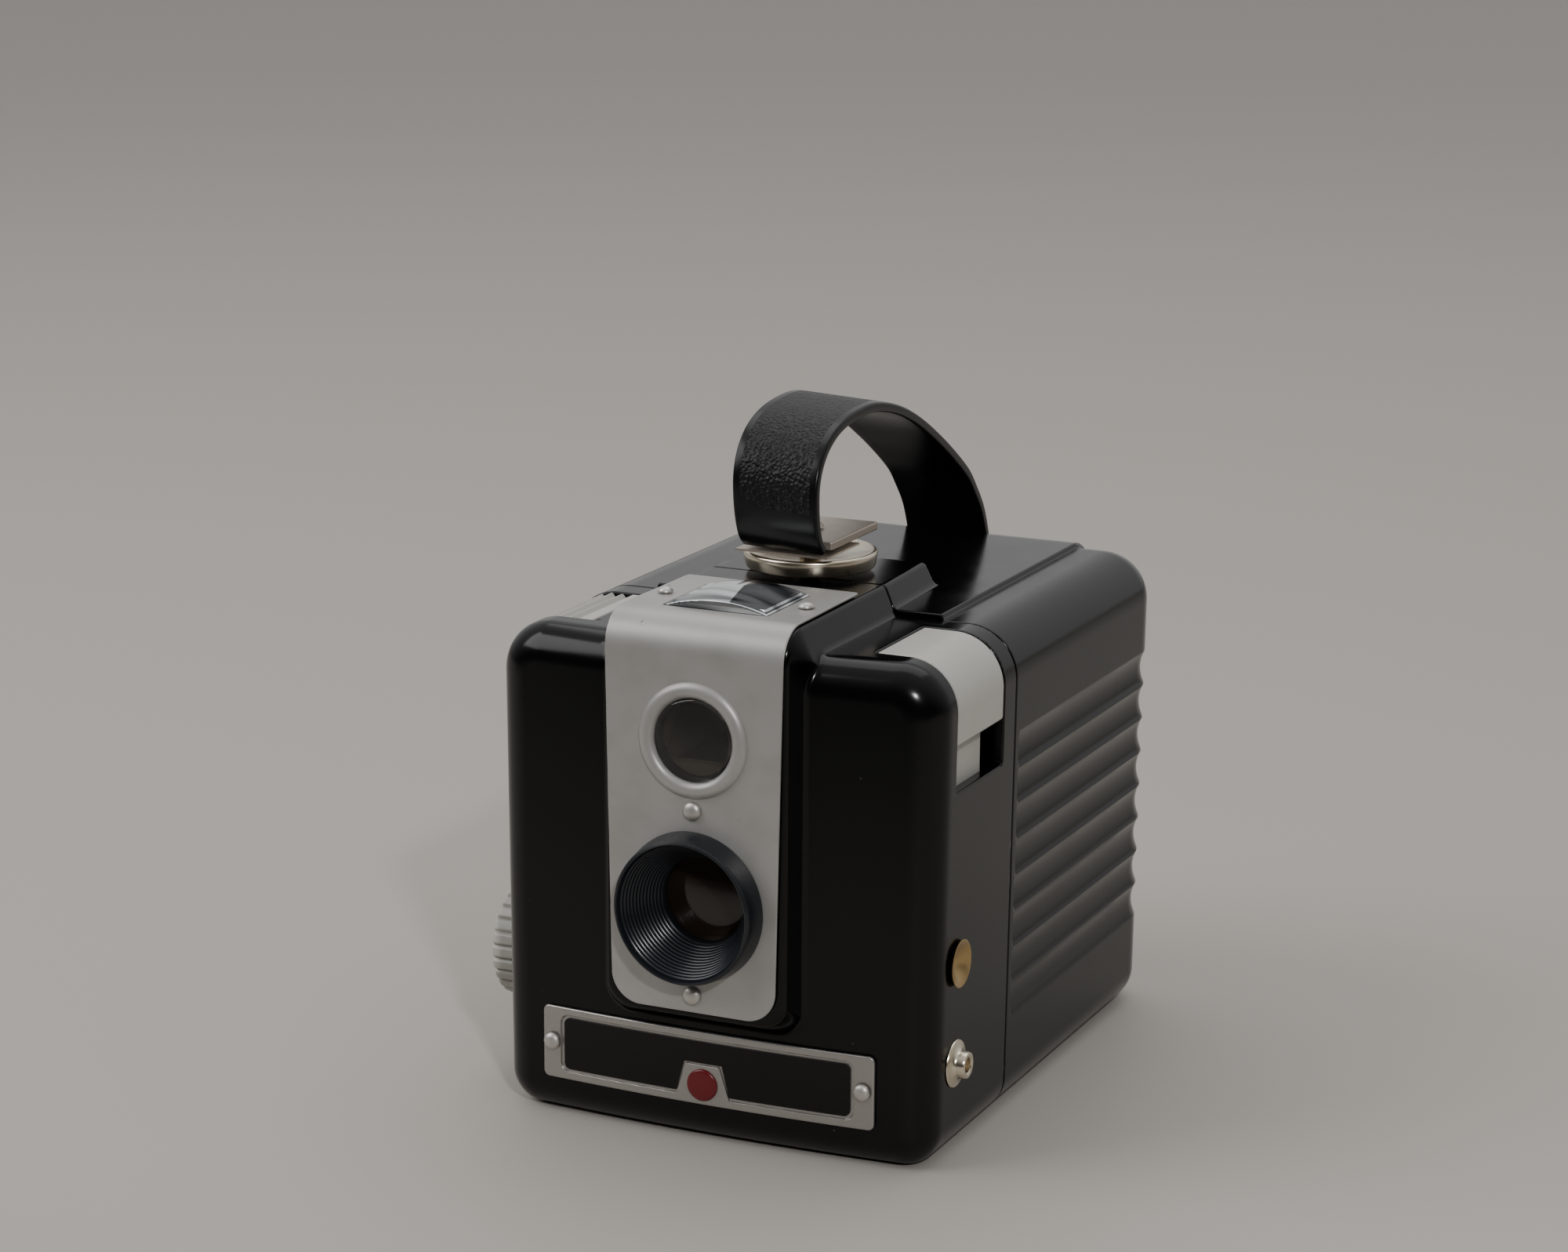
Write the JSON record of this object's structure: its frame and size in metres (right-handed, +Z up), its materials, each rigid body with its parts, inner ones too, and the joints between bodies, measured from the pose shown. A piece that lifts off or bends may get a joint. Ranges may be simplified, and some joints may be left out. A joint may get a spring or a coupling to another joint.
{
  "type": "box camera",
  "caption": "Moulded box camera for roll film with a pull-off rear cover, brilliant finder, shutter button, winding knob and looped carrying strap.",
  "frame": {"origin": "middle of the front casing's flat base, on the surface the camera stands on", "axes": "+X towards the shutter button's side, the lens looks along -Y, +Z up"},
  "size_m": [0.1035, 0.1347, 0.1348],
  "materials": {
    "black_moulding": "polished black phenolic moulding",
    "silver_sheet": "silver painted sheet with a fine grain",
    "name_frame": "satin aluminium pressing",
    "field_enamel": "black enamel",
    "red_enamel": "red enamel",
    "clear_glass": "polished clear glass",
    "lens_glass": "uncoated meniscus lens",
    "mirror_glass": "silvered glass",
    "nickel": "worn nickel plate",
    "rivet_steel": "plated rivet heads",
    "grey_moulding": "light grey moulded plastic",
    "strap_moulding": "flexible black plastic with a leather grain",
    "inner_black": "dull black lacquer",
    "inner_steel": "bright pressed steel",
    "red_filter": "deep red film window"
  },
  "bodies": {
    "front": {"front_casing": "black_moulding", "face_plate": "silver_sheet", "name_plate": "name_frame", "name_field": "field_enamel", "name_dot": "red_enamel", "finder_window": "clear_glass", "finder_top_lens": "clear_glass", "finder_box": "inner_black", "finder_mirror": "mirror_glass", "lens_hood": "black_moulding", "lens": "lens_glass", "lens_board": "inner_black", "film_carrier": "inner_black", "spool_spring_take_up": "nickel", "spool_spring_supply": "nickel", "spool_pin_supply": "nickel", "flash_socket": "nickel", "flash_pin": "nickel", "flash_strip_upper": "inner_steel", "flash_strip_lower": "inner_steel", "rivet_window": "rivet_steel", "rivet_lens": "rivet_steel", "rivet_top_left": "rivet_steel", "rivet_top_right": "rivet_steel", "rivet_name_left": "rivet_steel", "rivet_name_right": "rivet_steel", "latch_stud": "inner_steel"},
    "button": {"shutter_button": "grey_moulding"},
    "shutter": {"shutter_disc": "inner_steel"},
    "lever": {"time_lever": "grey_moulding"},
    "winder": {"winding_knob": "grey_moulding", "winding_shaft": "nickel", "take_up_spool": "inner_steel"},
    "supply": {"supply_spool": "inner_steel"},
    "roller_upper": {"film_roller_upper": "inner_steel"},
    "roller_lower": {"film_roller_lower": "inner_steel"},
    "rear": {"rear_cover": "black_moulding", "red_window": "red_filter", "window_ring": "inner_black", "pressure_plate": "inner_black", "pressure_spring_upper": "inner_steel", "pressure_spring_lower": "inner_steel", "strap": "strap_moulding", "strap_anchor": "inner_steel", "strap_clip": "nickel", "clip_leaf": "nickel", "clip_rivet": "nickel"},
    "latch": {"latch_disc": "nickel", "latch_post": "nickel", "latch_hook": "inner_steel"}
  },
  "joints": [
    {"name": "rear_slide", "type": "slide", "parent": "front", "child": "rear", "axis": [0, 1, 0], "range_m": [0, 0.09]},
    {"name": "latch_turn", "type": "hinge", "parent": "rear", "child": "latch", "pos_m": [0, 0.0249, 0.105], "axis": [0, 0, 1], "range_deg": [-90, 0]},
    {"name": "button_press", "type": "slide", "parent": "front", "child": "button", "axis": [0, 0, -1], "range_m": [0, 0.008], "stiffness_N_per_m": 200, "springref_m": -0.004},
    {"name": "shutter_turn", "type": "hinge", "parent": "front", "child": "shutter", "pos_m": [-0.009, -0.015, 0.0487], "axis": [0, 1, 0], "range_deg": [-1, 61]},
    {"name": "lever_lift", "type": "slide", "parent": "front", "child": "lever", "axis": [0, 0, 1], "range_m": [0, 0.003]},
    {"name": "knob_turn", "type": "hinge", "parent": "front", "child": "winder", "pos_m": [-0.05, 0.0056, 0.0256], "axis": [-1, 0, 0], "continuous": true},
    {"name": "supply_turn", "type": "hinge", "parent": "front", "child": "supply", "pos_m": [0, 0.036, 0.0795], "axis": [-1, 0, 0], "continuous": true},
    {"name": "roller_upper_turn", "type": "hinge", "parent": "front", "child": "roller_upper", "pos_m": [0, 0.0814, 0.0809], "axis": [-1, 0, 0], "continuous": true},
    {"name": "roller_lower_turn", "type": "hinge", "parent": "front", "child": "roller_lower", "pos_m": [0, 0.0814, 0.0165], "axis": [-1, 0, 0], "continuous": true}
  ],
  "couplings": [
    {"joint": "shutter_turn", "follows": "button_press", "rad_per_m": 130.9}
  ]
}
